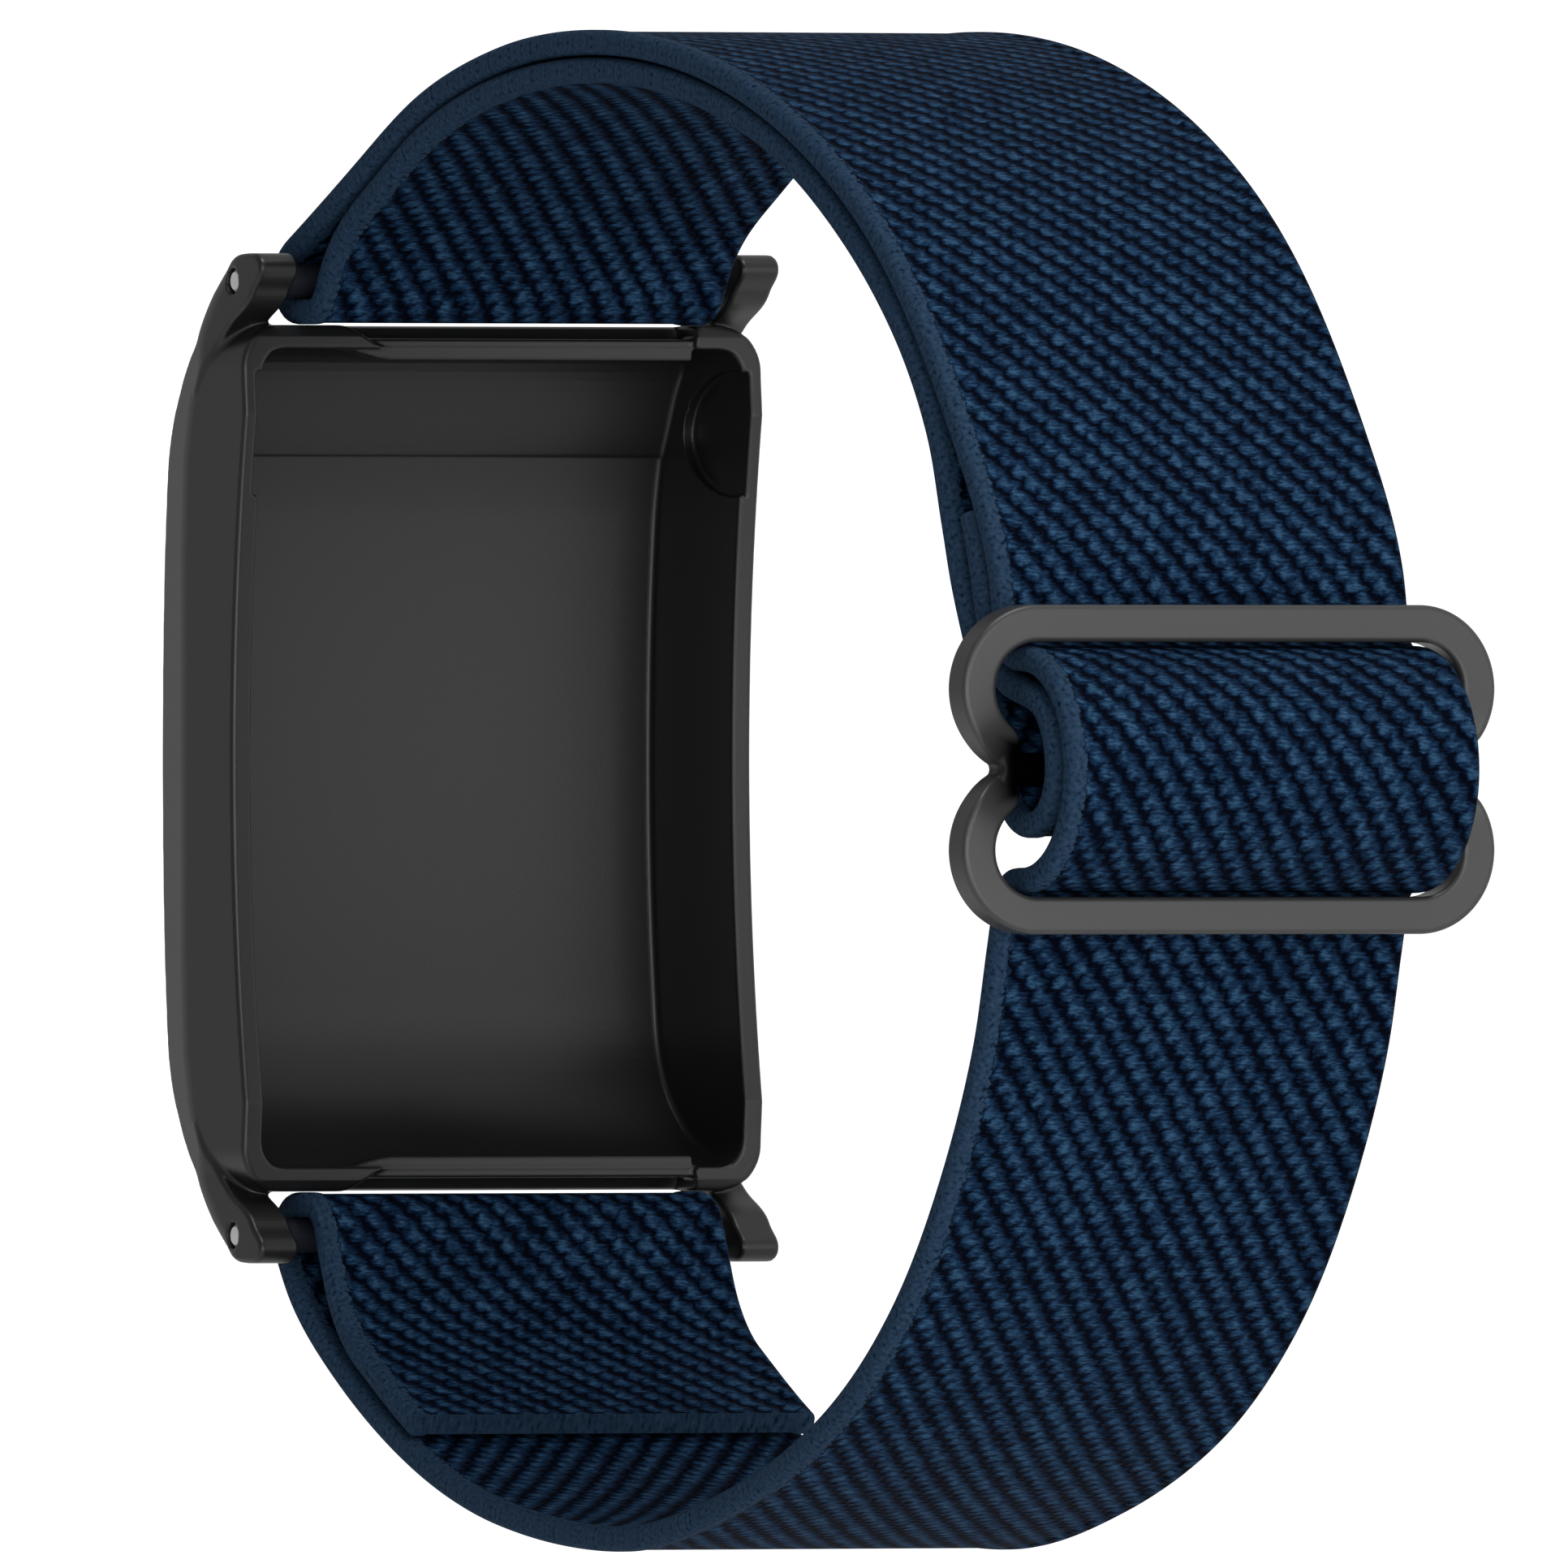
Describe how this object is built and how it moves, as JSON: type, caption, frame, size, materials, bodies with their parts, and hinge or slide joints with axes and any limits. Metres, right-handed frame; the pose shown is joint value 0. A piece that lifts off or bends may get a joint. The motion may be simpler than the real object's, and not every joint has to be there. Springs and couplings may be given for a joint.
{
  "type": "fitness tracker band",
  "caption": "Elastic woven wrist band in navy with a black metal cradle for a rectangular tracker module, four lugs with spring bars and a grey double ring slider",
  "frame": {"origin": "the middle of the wrist opening, half way between the two sides of the strap and half way along the cradle", "axes": "+X across the wrist, out of the right side of the cradle, +Y from the cradle to the slider, +Z along the cradle, from the lower spring bar to the upper one"},
  "size_m": [0.0258, 0.0814, 0.0658],
  "materials": {
    "case_black": "satin",
    "bar_steel": "brushed",
    "webbing_navy": "woven",
    "thread_navy": "twisted",
    "slider_grey": "satin"
  },
  "bodies": {
    "case": {"case_frame": "case_black", "webbing_upper_anchor": "webbing_navy", "webbing_lower_anchor": "webbing_navy", "tail_stitching": "thread_navy"},
    "upper_bar": {"upper_bar_tube": "bar_steel", "upper_bar_spring": "bar_steel"},
    "upper_tip_right": {"upper_bar_tip_right": "bar_steel"},
    "upper_tip_left": {"upper_bar_tip_left": "bar_steel"},
    "lower_bar": {"lower_bar_tube": "bar_steel", "lower_bar_spring": "bar_steel"},
    "lower_tip_right": {"lower_bar_tip_right": "bar_steel"},
    "lower_tip_left": {"lower_bar_tip_left": "bar_steel"},
    "far_band": {"webbing_lower_run": "webbing_navy", "webbing_upper_outer_run": "webbing_navy", "webbing_upper_inner_run": "webbing_navy"},
    "slider": {"slider_buckle": "slider_grey", "webbing_slider_bulge": "webbing_navy", "webbing_bar_loop": "webbing_navy", "bar_loop_stitching": "thread_navy"}
  },
  "joints": [
    {"name": "band_stretch", "type": "slide", "parent": "case", "child": "far_band", "axis": [0, 1, 0], "range_m": [0, 0.012], "stiffness_N_per_m": 500},
    {"name": "slider_adjust", "type": "hinge", "parent": "far_band", "child": "slider", "pos_m": [0, -0.002, -0.0005], "axis": [1, 0, 0], "range_deg": [-10, 12], "deforming": ["webbing_lower_run", "webbing_upper_outer_run", "webbing_upper_inner_run"]},
    {"name": "upper_bar_spin", "type": "hinge", "parent": "case", "child": "upper_bar", "pos_m": [0, -0.033, 0.0208], "axis": [1, 0, 0], "continuous": true},
    {"name": "upper_tip_right_press", "type": "slide", "parent": "upper_bar", "child": "upper_tip_right", "axis": [-1, 0, 0], "range_m": [0, 0.00185], "stiffness_N_per_m": 800, "deforming": ["upper_bar_spring"]},
    {"name": "upper_tip_left_press", "type": "slide", "parent": "upper_bar", "child": "upper_tip_left", "axis": [1, 0, 0], "range_m": [0, 0.00185], "stiffness_N_per_m": 800, "deforming": ["upper_bar_spring"]},
    {"name": "lower_bar_spin", "type": "hinge", "parent": "case", "child": "lower_bar", "pos_m": [0, -0.033, -0.0208], "axis": [1, 0, 0], "continuous": true},
    {"name": "lower_tip_right_press", "type": "slide", "parent": "lower_bar", "child": "lower_tip_right", "axis": [-1, 0, 0], "range_m": [0, 0.00185], "stiffness_N_per_m": 800, "deforming": ["lower_bar_spring"]},
    {"name": "lower_tip_left_press", "type": "slide", "parent": "lower_bar", "child": "lower_tip_left", "axis": [1, 0, 0], "range_m": [0, 0.00185], "stiffness_N_per_m": 800, "deforming": ["lower_bar_spring"]}
  ]
}
